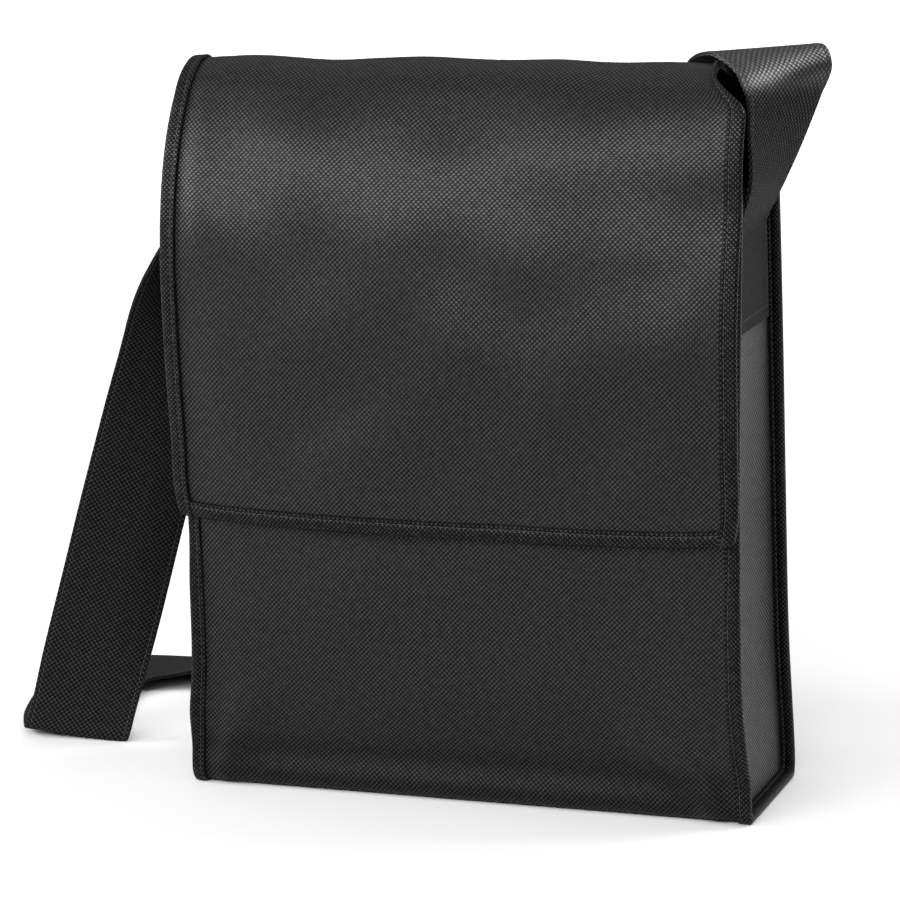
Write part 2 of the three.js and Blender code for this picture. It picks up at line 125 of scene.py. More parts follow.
SECTIONS = (
    Section("mouth", 300, -34, -39, -31.5, 3, 2),
    Section("front high", 245, -39, -45, -39.5, 4, 1.4),
    Section("front mid", 185, -41.5, -49, -43.5, 4.5, 1.8),
    Section("flap line", 137, -42, -51, -45, 5, 2),
    Section("belly", 95, -42, -51, -46, 5.2, 2),
    Section("low belly", 60, -42, -47.5, -45, 4.3, 2),
    Section("overhang", 40, -41.8, -43, -42, 2.2, 1.4),
    Section("valley", 21, -40, -37.8, -39.4, 0.4, 0.5),
    Section("roll", 7.5, -40.8, -40.4, -40.2, 0, 0),
    Section("front fold", 2.4, -38.4, -38, -37.6, 0, 0),
    Section("sole front", 0.5, -33.5, -33.5, -33.5, 0, 0),
    Section("sole", 0.5, 0, 0, 0, 0, 0),
    Section("sole back", 0.5, 33.5, 33.5, 33.5, 0, 0),
    Section("back fold", 2.4, 38.5, 38.5, 38.5, 0, 0),
    Section("back low", 9, 40.5, 40.5, 40.5, 0, 0),
    Section("back belly", 76, 38.5, 42, 39.5, 3, 2),
    Section("back mid", 150, 37, 43, 37.5, 4, 2),
    Section("back high", 228, 36, 42, 35.5, 4, 1.8),
    Section("back top", 300, 33.5, 37, 34, 3, 2.2),
    Section("back bend", 325, 28, 30, 28.5, 1, 1.5),
    Section("crown back", 348, 16, 17, 16, 0, 1),
    Section("crown", 359.5, 0, 0, 0, 0, 1),
    Section("crown front", 354, -15, -16, -15, 0, 1),
    Section("brow", 341, -25.5, -28, -26, 0, 1),
    Section("flap bend", 318, -37.5, -41, -34, 0, 1),
    Section("flap high", 295, -44.5, -48, -36.5, 0, 1),
    Section("flap swell", 268, -48.5, -53, -43.5, 0, 1),
    Section("flap mid", 240, -49, -56, -48, 0, 1),
    Section("flap fall", 208, -48, -57.5, -49.5, 0, 1),
    Section("flap low", 178, -47, -58, -50, 0.5, 1),
    Section("hem top", 153, -46.5, -58, -50.5, 0.6, 0.8),
    Section("hem", 139, -46.5, -58, -51, 2.6, 2.6),
)
ROW = {section.at: index for index, section in enumerate(SECTIONS)}
LAST_ROW = len(SECTIONS) - 1

CREASES = (
    Crease(Panel.FRONT, 132, 9, 80, 54, 9, 6),
    Crease(Panel.FRONT, -134, 8, -96, 66, 12, 3.5),
    Crease(Panel.FRONT, 120, 40, 128, 122, 13, 1.5),
    Crease(Panel.FLAP, -128, 330, -112, 255, 16, 1.6),
    Crease(Panel.FLAP, -60, 165, 40, 255, 22, 1.4),
    Crease(Panel.FLAP, 35, 150, 110, 215, 18, -1.4),
)

SHOULDERS = (
    Shoulder(Side.RIGHT, 0.7, 2, -1, 18, 338),
    Shoulder(Side.RIGHT, 0.35, 1, 2, 0, 338),
    Shoulder(Side.LEFT, 0.9, 1.2, 1.3, 0.4, 324),
)

STRAP_RUN = (
    Crossing("right lift", 141.5, 1.5, 292, (0, 1, -0.05)),
    Crossing("right out", 145, 1.5, 302, (0, 0.98, -0.17)),
    Crossing("right rise", 148.5, 4.5, 322, (0.18, 0.95, -0.22)),
    Crossing("right turn", 152.5, 8, 343, (0.39, 0.92, -0.09)),
    Crossing("crest front", 151.5, 12.5, 355.5, (0.62, 0.78, 0)),
    Crossing("crest", 142, 18.5, 363, (0.75, 0.66, 0.01)),
    Crossing("crest back", 128, 30, 357, (0.82, 0.57, -0.06)),
    Crossing("over", 119, 48, 338, (0.85, 0.47, -0.2)),
    Crossing("behind high", 104, 60, 300, (0.87, 0.3, -0.38)),
    Crossing("behind", 72, 75, 232, (0.87, 0.08, -0.48)),
    Crossing("behind mid", 28, 89, 155, (0.84, 0, -0.54)),
    Crossing("behind low", -25, 102, 96, (0.74, 0, -0.68)),
    Crossing("landing", -82, 118, 57, (0.46, 0.12, -0.88)),
    Crossing("on edge", -138, 130, 30, (0.06, 0.45, -0.89)),
    Crossing("tipping", -188, 140, 9.5, (-0.2, 0.94, -0.27)),
    Crossing("flat", -226, 136, 5.6, (-0.32, 0.93, -0.12)),
    Crossing("turn back", -254, 121, 6, (-0.66, 0.74, 0)),
    Crossing("turn", -263, 94, 5.4, (-0.94, 0.26, 0.12)),
    Crossing("turn front", -257.5, 65, 3.4, (-0.985, 0.05, 0.09)),
    Crossing("floor", -249.5, 37.5, 2, (-0.985, -0.05, 0.07)),
    Crossing("fold back", -238.6, 16.6, 2, (-0.985, -0.1, 0.09)),
    Crossing("fold", -235, 10.9, 3.2, (-0.988, -0.1, 0.11)),
    Crossing("fold front", -232.1, 10.4, 10, (-0.989, -0.107, 0.1)),
    Crossing("hang low", -223.6, 12.4, 40, (-0.96, -0.2, 0.2)),
    Crossing("hang", -211.5, 15, 80, (-0.89, -0.31, 0.28)),
    Crossing("hang mid", -198, 17, 125, (-0.86, -0.4, 0.3)),
    Crossing("hang high", -182.5, 17, 172, (-0.83, -0.47, 0.28)),
    Crossing("left bend", -168.5, 14, 213, (-0.7, -0.66, 0.24)),
    Crossing("left twist", -158, 6, 249, (-0.36, -0.93, 0.12)),
    Crossing("left rise", -152, 2.5, 267, (-0.13, -0.99, 0.05)),
    Crossing("left arch", -144, 0.5, 283, (0, -1, 0)),
)


def smoothstep(value: np.ndarray, low: float, high: float) -> np.ndarray:
    """Ease from 0 at low to 1 at high.

    Args:
        value: Numbers to ease.
        low: Where the result leaves 0.
        high: Where the result reaches 1.

    Returns:
        The eased numbers.
    """
    share = np.clip((value - low) / (high - low), 0, 1)
    return share * share * (3 - 2 * share)


def hump(value: np.ndarray, rise: Span, fall: Span) -> np.ndarray:
    """Ease from 0 to 1 over the rise and back to 0 over the fall, each given as (from, to)."""
    return smoothstep(value, *rise) * (1 - smoothstep(value, *fall))


def unit(vectors: np.ndarray) -> np.ndarray:
    """Return the vectors at length one."""
    return vectors / np.maximum(np.linalg.norm(vectors, axis=-1, keepdims=True), TINY)


def run_lengths(points: np.ndarray) -> np.ndarray:
    """Return how far each point lies along the line through them all."""
    steps = np.linalg.norm(np.diff(points, axis=0), axis=1)
    return np.concatenate([[0], np.cumsum(steps)])


def read_off(at: np.ndarray, along: np.ndarray, line: np.ndarray) -> np.ndarray:
    """Return the vectors of a line at some lengths along it."""
    return np.stack([np.interp(at, along, line[:, k]) for k in range(line.shape[1])], axis=1)


class RowCurve:
    """A smooth curve through the rows of a table; its parameter counts rows."""

    def __init__(self, points: np.ndarray, even: bool = False) -> None:
        """Keep the rows, with one more carried on at each end.

        Args:
            points: One point a row.
            even: True where the rows count as evenly spaced, as for directions.
        """
        ends = (2 * points[:1] - points[1:2], 2 * points[-1:] - points[-2:-1])
        self.points = np.vstack([ends[0], points, ends[1]])
        self.last = len(points) - 1
        self.even = even

    def at(self, rows: np.ndarray) -> np.ndarray:
        """Find points on the curve.

        Args:
            rows: Rows of the table, which may lie between two.

        Returns:
            One point for each row.
        """
        rows = np.clip(rows, 0, self.last)
        cell = np.minimum(rows.astype(int), self.last - 1)
        share = (rows - cell)[:, None]
        p0, p1, p2, p3 = (self.points[cell + step] for step in range(4))
        if self.even:
            leave, arrive = (p2 - p0) / 2, (p3 - p1) / 2
        else:
            gaps = ((p0, p1), (p1, p2), (p2, p3))
            d0, d1, d2 = (np.sqrt(np.linalg.norm(b - a, axis=1, keepdims=True)) for a, b in gaps)
            leave = d1 * ((p1 - p0) / d0 - (p2 - p0) / (d0 + d1) + (p2 - p1) / d1)
            arrive = d1 * ((p2 - p1) / d1 - (p3 - p1) / (d1 + d2) + (p3 - p2) / d2)
        bend = 3 * (p2 - p1) - 2 * leave - arrive
        twist = 2 * (p1 - p2) + leave + arrive
        return p1 + share * (leave + share * (bend + share * twist))

    def tangent(self, rows: np.ndarray, step: float = 0.004) -> np.ndarray:
        """Return the directions in which the curve runs at some rows."""
        return unit(self.at(rows + step) - self.at(rows - step))


class MeshDraft:
    """Closed shells that are gathered into one mesh, with a map of the cloth in metres."""

    def __init__(self) -> None:
        """Start with nothing."""
        self.points: list[np.ndarray] = []
        self.places: list[np.ndarray] = []
        self.faces: list[tuple[int, ...]] = []
        self.count = 0

    def _add(self, points: np.ndarray, places: np.ndarray) -> np.ndarray:
        """Take in a grid of points.

        Args:
            points: The grid.
            places: The points' places on the flat cloth.

        Returns:
            The points' numbers in the mesh, as a grid.
        """
        shape = points.shape[:-1]
        self.points.append(points.reshape(-1, 3))
        self.places.append(places.reshape(-1, 2))
        ids = np.arange(self.count, self.count + len(self.points[-1])).reshape(shape)
        self.count += ids.size
        return ids

    @staticmethod
    def _strip(first: np.ndarray, second: np.ndarray) -> list[tuple[int, ...]]:
        """Return the quads between two lines of points."""
        corners = np.stack([first[:-1], first[1:], second[1:], second[:-1]], axis=1)
        return [tuple(row) for row in corners.tolist()]

    def _close(self, faces: list[tuple[int, ...]]) -> None:
        """Turn a closed shell's faces outwards and keep them.

        Args:
            faces: All faces of the shell.
        """
        points = np.vstack(self.points)
        volume = 0.0
        for size in {len(face) for face in faces}:
            corners = points[np.array([face for face in faces if len(face) == size])]
            for k in range(1, size - 1):
                cross = np.cross(corners[:, k], corners[:, k + 1])
                volume += float((corners[:, 0] * cross).sum())
        self.faces += [face[::-1] for face in faces] if volume < 0 else faces

    def sheet(self, middle: np.ndarray, normals: np.ndarray, thickness: float, places: np.ndarray) -> None:
        """Add a sheet of even thickness.

        Args:
            middle: Grid of points in the middle of the sheet.
            normals: The sheet's normals there.
            thickness: Its thickness.
            places: The points' places on the flat cloth.
        """
        outer = self._add(middle + normals * thickness / 2, places)
        inner = self._add(middle - normals * thickness / 2, places)
        faces = []
        for k in range(len(outer) - 1):
            faces += self._strip(outer[k], outer[k + 1])
            faces += self._strip(inner[k + 1], inner[k])
        for edge in (np.s_[0, ::-1], np.s_[-1, :], np.s_[:, 0], np.s_[::-1, -1]):
            faces += self._strip(outer[edge], inner[edge])
        self._close(faces)

    def sweep(self, rings: np.ndarray, places: np.ndarray) -> None:
        """Add a closed outline carried along a run.

        Args:
            rings: One closed ring of points for each station.
            places: The points' places on the flat cloth.
        """
        ids = self._add(rings, places)
        loops = np.hstack([ids, ids[:, :1]])
        faces = []
        for k in range(len(loops) - 1):
            faces += self._strip(loops[k], loops[k + 1])
        faces.append(tuple(ids[0].tolist()))
        faces.append(tuple(ids[-1, ::-1].tolist()))
        self._close(faces)

    def copies(self, form: "StitchForm", places: np.ndarray, axes: np.ndarray) -> None:
        """Add a small form at many places.

        Args:
            form: The form to copy.
            places: Where each copy goes.
            axes: Three directions for each copy: across, out and along.
        """
        points = np.einsum("vk,nkd->nvd", form.points, axes) + places[:, None, :]
        ids = self._add(points, np.zeros((*points.shape[:2], 2)))
        for row in ids.tolist():
            self.faces += [tuple(row[k] for k in face) for face in form.faces]

    def make(self, name: str, crisp: float = 38.0) -> bpy.types.Object:
        """Make the object, in metres and smooth up to an angle.

        Args:
            name: The object's name.
            crisp: Angle in degrees past which an edge stays crisp.

        Returns:
            The new object.
        """
        mesh = bpy.data.meshes.new(name)
        mesh.from_pydata((np.vstack(self.points) * MM).tolist(), [], self.faces)
        corners = np.zeros(len(mesh.loops), np.int32)
        mesh.loops.foreach_get("vertex_index", corners)
        cloth_map = mesh.uv_layers.new(name="cloth")
        cloth_map.data.foreach_set("uv", (np.vstack(self.places) * MM)[corners].ravel())
        mesh.validate()
        piece = bpy.data.objects.new(name, mesh)
        bpy.context.scene.collection.objects.link(piece)
        bpy.ops.object.select_all(action="DESELECT")
        piece.select_set(True)
        bpy.context.view_layer.objects.active = piece
        bpy.ops.object.shade_smooth_by_angle(angle=math.radians(crisp))
        return piece


# Sockets of a Mix node that mixes colours
MIX_SHARE, MIX_DARK, MIX_LIGHT, MIX_RESULT = 0, 6, 7, 2


class FinishNodes:
    """A small hand for laying out a material's nodes."""

    def __init__(self, name: str) -> None:
        """Start a material with a shader and its output.

        Args:
            name: The material's name.
        """
        self.material = bpy.data.materials.new(name)
        self.material.use_nodes = True
        self.tree = self.material.node_tree
        self.tree.nodes.clear()
        self.shader = self.node("ShaderNodeBsdfPrincipled")
        output = self.node("ShaderNodeOutputMaterial")
        self.tree.links.new(self.shader.outputs["BSDF"], output.inputs["Surface"])

    def node(self, kind: str, **settings: object) -> bpy.types.Node:
        """Add a node.

        Args:
            kind: The node's type.
            settings: Properties to set on it.

        Returns:
            The new node.
        """
        made = self.tree.nodes.new(kind)
        for key, value in settings.items():
            setattr(made, key, value)
        return made

    def feed(self, socket: bpy.types.NodeSocket, value: object) -> None:
        """Link an output to a socket, or set the socket's own value.

        Args:
            socket: The input to feed.
            value: An output, or a plain value.
        """
        if isinstance(value, bpy.types.NodeSocket):
            self.tree.links.new(value, socket)
        else:
            socket.default_value = value

    def math(self, operation: str, *values: object) -> bpy.types.NodeSocket:
        """Add a math node.

        Args:
            operation: What it does.
            values: Its inputs, as outputs or numbers.

        Returns:
            Its result.
        """
        made = self.node("ShaderNodeMath", operation=operation)
        for socket, value in zip(made.inputs, values):
            self.feed(socket, value)
        return made.outputs[0]

    def ease(
        self, value: object, low: float, high: float, start: object = 0, end: object = 1
    ) -> bpy.types.NodeSocket:
        """Ease a value between two ends.

        Args:
            value: The value to ease.
            low: Where the result is start.
            high: Where the result is end.
            start: First end, as an output or a number.
            end: Second end, as an output or a number.

        Returns:
            The eased result.
        """
        made = self.node("ShaderNodeMapRange", interpolation_type="SMOOTHSTEP")
        sockets = ("Value", "From Min", "From Max", "To Min", "To Max")
        for key, number in zip(sockets, (value, low, high, start, end)):
            self.feed(made.inputs[key], number)
        return made.outputs["Result"]

    def noise(self, vector: object, scale: float, detail: float = 2.0) -> bpy.types.NodeSocket:
        """Add a noise.

        Args:
            vector: Where the noise is read.
            scale: Its waves a metre.
            detail: How many finer layers it has.

        Returns:
            The noise, from 0 to 1.
        """
        made = self.node("ShaderNodeTexNoise")
        self.feed(made.inputs["Vector"], vector)
        self.feed(made.inputs["Scale"], scale)
        self.feed(made.inputs["Detail"], detail)
        return made.outputs["Fac"]

    def tint(self, share: object, dark: Colour, light: Colour) -> bpy.types.NodeSocket:
        """Mix two colours.

        Args:
            share: How much of the light colour there is.
            dark: First colour.
            light: Second colour.

        Returns:
            The mix.
        """
        made = self.node("ShaderNodeMix", data_type="RGBA")
        self.feed(made.inputs[MIX_SHARE], share)
        self.feed(made.inputs[MIX_DARK], (*dark, 1))
        self.feed(made.inputs[MIX_LIGHT], (*light, 1))
        return made.outputs[MIX_RESULT]

    def relief(self, height: object, depth: float, strength: float) -> None:
        """Give the shader a relief.

        Args:
            height: The relief's height, as an output.
            depth: Its depth in metres.
            strength: Its strength, from 0 to 1.
        """
        bump = self.node("ShaderNodeBump")
        self.feed(bump.inputs["Height"], height)
        self.feed(bump.inputs["Distance"], depth)
        self.feed(bump.inputs["Strength"], strength)
        self.feed(self.shader.inputs["Normal"], bump.outputs["Normal"])


@dataclass(frozen=True)
class ClothFinish:
    """Non-woven cloth, pressed with a fine lattice of puffs that lean into slanting rows.

    Shine and roughness are given for pits and puffs. One stretch, from and to so many metres along the
    cloth, may have its own.
    """

    name: str
    # pit: colour in the pressed hollows; it is darker partly because of the cloth's own tone and partly as
    # painted shade of the relief
    pit: Colour
    puff: Colour
    shine: Span = (0.12, 0.46)
    roughness: Span = (0.44, 0.36)
    rise: Span = (-0.5, 1.0)
    half_pitch: float = 1.235
    lean: float = 0.57
    depth: float = 0.00007
    grain: float = 0.5
    fibre_waves: float = 1900.0
    clump_waves: float = 260.0
    fibre_share: float = 0.6
    clump_share: float = 0.7
    stretch: Span | None = None
    stretch_shine: Span = (0.3, 1.0)
    stretch_roughness: Span = (0.46, 0.4)
    stretch_parts: int = 3

    @cache
    def make(self) -> bpy.types.Material:
        """Build the material, once for each finish.

        Returns:
            The cloth's material, which reads the map of the cloth in metres.
        """
        nodes = FinishNodes(self.name)
        cloth_map = nodes.node("ShaderNodeUVMap", uv_map="cloth").outputs["UV"]
        split = nodes.node("ShaderNodeSeparateXYZ")
        nodes.feed(split.inputs[0], cloth_map)
        across, along = split.outputs["X"], split.outputs["Y"]
        turns = math.pi / (self.half_pitch * MM)
        rows = []
        for kind, share in (("ADD", self.lean), ("SUBTRACT", 1 - self.lean)):
            wave = nodes.math("COSINE", nodes.math("MULTIPLY", nodes.math(kind, across, along), turns))
            rows.append(nodes.math("MULTIPLY", wave, share))
        lattice = nodes.math("ADD", *rows)
        fibres = nodes.noise(cloth_map, self.fibre_waves, 3)
        clumps = nodes.noise(cloth_map, self.clump_waves)
        fine = nodes.math("MULTIPLY", fibres, self.fibre_share)
        uneven = nodes.math("ADD", fine, nodes.math("MULTIPLY", clumps, self.clump_share))
        mean = (self.fibre_share + self.clump_share) / 2
        raised = nodes.math("MULTIPLY_ADD", nodes.math("SUBTRACT", uneven, mean), self.grain * 2, lattice)
        puffs = nodes.ease(raised, *self.rise)
        # The base colour follows the relief: it is darker in the pits, partly the pressed spots' own tone
        # and partly painted shade in the hollows
        nodes.feed(nodes.shader.inputs["Base Color"], nodes.tint(puffs, self.pit, self.puff))
        shine = nodes.ease(puffs, 0, 1, *self.shine)
        roughness = nodes.ease(puffs, 0, 1, *self.roughness)
        if self.stretch is not None:
            start, end = self.stretch
            fade = (end - start) / self.stretch_parts
            entering = nodes.ease(along, start, start + fade)
            within = nodes.math("MULTIPLY", entering, nodes.ease(along, end - fade, end, 1, 0))
            own_shine = nodes.ease(puffs, 0, 1, *self.stretch_shine)
            own_roughness = nodes.ease(puffs, 0, 1, *self.stretch_roughness)
            shine = nodes.ease(within, 0, 1, shine, own_shine)
            roughness = nodes.ease(within, 0, 1, roughness, own_roughness)
        nodes.feed(nodes.shader.inputs["Specular IOR Level"], shine)
        nodes.feed(nodes.shader.inputs["Roughness"], roughness)
        nodes.relief(nodes.math("MULTIPLY_ADD", fibres, self.grain, lattice), self.depth, 1.0)
        return nodes.material


@dataclass(frozen=True)
class ThreadFinish:
    """Twisted sewing thread."""

    name: str
    dark: Colour
    light: Colour
    strand_waves: float = 3000.0
    strand_span: Span = (0.2, 0.8)
    roughness: Span = (0.45, 0.65)
    depth: float = 0.0001
    strength: float = 0.5

    @cache
    def make(self) -> bpy.types.Material:
        """Build the material, once for each finish.

        Returns:
            The thread's material, with fine twisted strands.
        """
        nodes = FinishNodes(self.name)
        place = nodes.node("ShaderNodeTexCoord").outputs["Object"]
        strands = nodes.noise(place, self.strand_waves)
        nodes.feed(nodes.shader.inputs["Base Color"], nodes.tint(strands, self.dark, self.light))
        roughness = nodes.ease(strands, *self.strand_span, *self.roughness)
        nodes.feed(nodes.shader.inputs["Roughness"], roughness)
        nodes.relief(strands, self.depth, self.strength)
        return nodes.material


@dataclass(frozen=True)
class FloorFinish:
    """Plain pale studio floor."""

    name: str = "pale_floor"
    low: Colour = (0.66, 0.66, 0.66)
    high: Colour = (0.68, 0.68, 0.68)
    cloud_waves: float = 1.5
    roughness: float = 0.8
    shine: float = 0.1

    def make(self) -> bpy.types.Material:
        """Build the material.

        Returns:
            A matt pale material with faint clouding.
        """
        nodes = FinishNodes(self.name)
        place = nodes.node("ShaderNodeTexCoord").outputs["Object"]
        clouds = nodes.noise(place, self.cloud_waves)
        nodes.feed(nodes.shader.inputs["Base Color"], nodes.tint(clouds, self.low, self.high))
        nodes.feed(nodes.shader.inputs["Roughness"], self.roughness)
        nodes.feed(nodes.shader.inputs["Specular IOR Level"], self.shine)
        return nodes.material


# Each cloth's first colour is its pits' colour, darker partly because of its own tone and partly as
# painted shade of the relief
WRAP_CLOTH = ClothFinish(
    "black_embossed_cloth", (0.001, 0.001, 0.001), (0.009, 0.009, 0.009),
    stretch=(0.266, 0.33), stretch_shine=(0.08, 0.3), stretch_roughness=(0.6, 0.52),
)
GUSSET_CLOTH = ClothFinish(
    "grey_smooth_cloth", (0.02, 0.02, 0.02), (0.095, 0.095, 0.095), (0.05, 0.3), (0.55, 0.48),
    depth=0.00004,
)
TAPE_CLOTH = ClothFinish(
    "dark_binding_tape", (0.001, 0.001, 0.0015), (0.009, 0.009, 0.0105), (0.06, 0.4), rise=(-0.2, 1.1),
    half_pitch=1.15, lean=0.5, grain=0.8,
)
STRAP_CLOTH = ClothFinish(
    "black_strap_cloth", (0.001, 0.001, 0.001), (0.007, 0.007, 0.008), (0.08, 0.4), (0.8, 0.72),
    half_pitch=1.36, lean=0.5, stretch=(0.108, 0.156),
)
THREAD = ThreadFinish("black_thread", (0.003, 0.003, 0.004), (0.014, 0.014, 0.018))


@dataclass(frozen=True)
class WrapShape:
    """The sheet that is the front, the base, the back, the crown and the flap."""

    half: float = 143.7
    cloth: float = 1.0
    tape_leg: float = 7.0
    tape_wall: float = 1.0
    gap: float = 0.3
    bulge_power: float = 2.4
    edge_power: float = 9.0
    hem_corner_rise: float = 2.5
    crease_edge: float = 0.86
    sole_edge: float = 0.89
    fin_forward: float = 3.2
    fin_rise: Span = (12.0, 40.0)
    fin_fall: Span = (100.0, 134.0)
    crease_fade: float = 0.55
    probe: float = 0.02

    @property
    def tape_edge(self) -> float:
        """Return the share of the half width where the side tapes end."""
        return 1 - self.tape_leg / self.half

    def _edges(self) -> tuple[RowCurve, RowCurve, RowCurve]:
        """Return the curves of the left edge, the middle and the right edge."""
        left = [(row.pull_left - self.half, row.left, row.z) for row in SECTIONS]
        middle = [(0.0, row.middle, row.z) for row in SECTIONS]
        right = [(self.half - row.pull_right, row.right, row.z) for row in SECTIONS]
        return RowCurve(np.array(left)), RowCurve(np.array(middle)), RowCurve(np.array(right))

    def _creased(self, points: np.ndarray, rows: np.ndarray) -> np.ndarray:
        """Find how far the creases lift the sheet.

        Args:
            points: Grid of points of the sheet.
            rows: The grid's rows.

        Returns:
            The lift of each point, forwards.
        """
        lift = np.zeros(points.shape[:2])
        spans = {Panel.FRONT: rows < ROW["front fold"], Panel.FLAP: rows > ROW["crown"]}
        for crease in CREASES:
            along = np.array([crease.x1 - crease.x0, crease.z1 - crease.z0])
            start = points[..., [0, 2]] - (crease.x0, crease.z0)
            share = np.clip(start @ along / (along @ along), 0, 1)
            off = np.linalg.norm(start - share[..., None] * along, axis=-1) / crease.width
            fade = 1 - smoothstep(share, self.crease_fade, 1)
            lift += crease.height * np.exp(-off * off) * fade * spans[crease.panel][:, None]
        return lift

    def point(self, rows: np.ndarray, shares: np.ndarray) -> np.ndarray:
        """Find points in the middle of the sheet.

        Args:
            rows: Rows of the table, which may lie between two.
            shares: Shares of the half width, from -1 at the left edge to 1.

        Returns:
            A grid of points, in millimetres.
        """
        left, middle, right = (curve.at(rows)[:, None, :] for curve in self._edges())
        u = shares[None, :]
        bulge = middle - (left + right) / 2
        points = left + (right - left) * (u[..., None] + 1) / 2
        points = points + bulge * (1 - np.abs(u) ** self.bulge_power)[..., None]
        edge = np.abs(u) ** self.edge_power
        on_flap = (rows > ROW["crown"])[:, None]
        corner = smoothstep(rows, ROW["flap low"], LAST_ROW)[:, None]
        points[..., 2] += self.hem_corner_rise * edge * corner * on_flap
        for shoulder in SHOULDERS:
            side = shoulder.side.value
            near = np.clip((side * u - shoulder.start) / (1 - shoulder.start), 0, None)
            droop = near**shoulder.power * smoothstep(points[..., 2], shoulder.low, shoulder.high)
            points[..., 0] -= side * shoulder.inward * droop
            points[..., 2] -= shoulder.drop * droop
        inside = 1 - smoothstep(np.abs(u), self.crease_edge, self.tape_edge)
        points[..., 1] -= self._creased(points, rows) * inside
        fin = np.clip((np.abs(u) - self.tape_edge) / (1 - self.tape_edge), 0, None)
        height = hump(points[..., 2], self.fin_rise, self.fin_fall)
        front = (rows < ROW["front fold"])[:, None]
        points[..., 1] -= self.fin_forward * fin * height * front
        lift = smoothstep(np.abs(u), self.sole_edge, self.tape_edge) * (self.tape_wall + self.gap)
        points[..., 2] = np.maximum(points[..., 2], self.cloth / 2 + lift)
        return points

    def normal(self, rows: np.ndarray, shares: np.ndarray) -> np.ndarray:
        """Find the sheet's outward normals.

        Args:
            rows: Rows of the table, which may lie between two.
            shares: Shares of the half width.

        Returns:
            A grid of normals.
        """
        step = self.probe
        ahead = self.point(np.minimum(rows + step, LAST_ROW), shares)
        along = ahead - self.point(np.maximum(rows - step, 0), shares)
        inner = np.clip(shares, -1 + step, 1 - step)
        across = self.point(rows, inner + step) - self.point(rows, inner - step)
        return unit(np.cross(along, across))


@dataclass(frozen=True)
class EdgeRun:
    """A run along an edge of the wrap, with a line that lies a tape's leg in from it."""

    edge: np.ndarray
    edge_normal: np.ndarray
    inner: np.ndarray
    inner_normal: np.ndarray
    leg: float

    def place(self, reach: float, offset: float) -> tuple[np.ndarray, np.ndarray]:
        """Find the line at a reach in from the edge and an offset along the normal.

        Args:
            reach: Distance in from the edge.
            offset: Distance out of the cloth's middle.

        Returns:
            The line's points and its normals.
        """
        share = reach / self.leg
        inwards = max(share, 0)
        normals = unit(self.edge_normal * (1 - inwards) + self.inner_normal * inwards)
        return self.edge + (self.inner - self.edge) * share + normals * offset, normals

    def rings(self, outline: Outline) -> tuple[np.ndarray, np.ndarray]:
        """Carry an outline of (reach, offset) along the run.

        Args:
            outline: The closed outline.

        Returns:
            The rings of points, and their places on the flat tape.
        """
        rings = np.stack([self.place(reach, offset)[0] for reach, offset in outline], axis=1)
        around = run_lengths(np.array(outline))
        along = run_lengths(self.edge)
        places = np.stack(np.broadcast_arrays(around[None, :], along[:, None]), axis=-1)
        return rings, places


def side_run(shape: WrapShape, rows: np.ndarray, side: Side) -> EdgeRun:
    """Find the run along one side of the wrap.

    Args:
        shape: The wrap's shape.
        rows: Rows of the table that the run passes.
        side: Which edge it follows.

    Returns:
        The run.
    """
    shares = np.array([side.value, side.value * shape.tape_edge])
    points = shape.point(rows, shares)
    normals = shape.normal(rows, shares)
    return EdgeRun(points[:, 0], normals[:, 0], points[:, 1], normals[:, 1], shape.tape_leg)


def rows_between(first: str, last: str, steps: int) -> np.ndarray:
    """Return rows from one of the table's to another, with some steps for each."""
    count = (ROW[last] - ROW[first]) * steps
    return np.linspace(ROW[first], ROW[last], count + 1)


@dataclass(frozen=True)
class StitchForm:
    """One stitch of thread: its points (across, out, along) and its faces."""

    points: np.ndarray
    faces: list[tuple[int, ...]]

    @classmethod
    def shaped(cls, length: float, width: float, height: float, under: float) -> "StitchForm":
        """Shape a stitch from a small ball, drawn out and flattened beneath.

        Args:
            length: Length of the thread on the cloth.
            width: Its width.
            height: Its height.
            under: The share of its height that stays under its middle.

        Returns:
            The stitch, in millimetres.
        """
        bpy.ops.object.select_all(action="DESELECT")
        bpy.ops.mesh.primitive_uv_sphere_add(segments=6, ring_count=4, radius=0.5)
        ball = bpy.context.object
        bpy.ops.object.mode_set(mode="EDIT")
        bpy.ops.mesh.select_all(action="SELECT")
        bpy.ops.transform.resize(value=(width, height, length))
        bpy.ops.object.mode_set(mode="OBJECT")
        points = np.array([vertex.co for vertex in ball.data.vertices])
        # The ball's points and faces come in no fixed order, so they are given one
        order = np.lexsort(np.round(points, SORT_DIGITS).T)
        number = np.argsort(order)
        points = points[order]
        points[:, 1] = np.maximum(points[:, 1], -under * height)
        loops = [number[list(polygon.vertices)] for polygon in ball.data.polygons]
        faces = sorted(tuple(np.roll(loop, -loop.argmin()).tolist()) for loop in loops)
        mesh = ball.data
        bpy.data.objects.remove(ball)
        bpy.data.meshes.remove(mesh)
        return cls(points, faces)


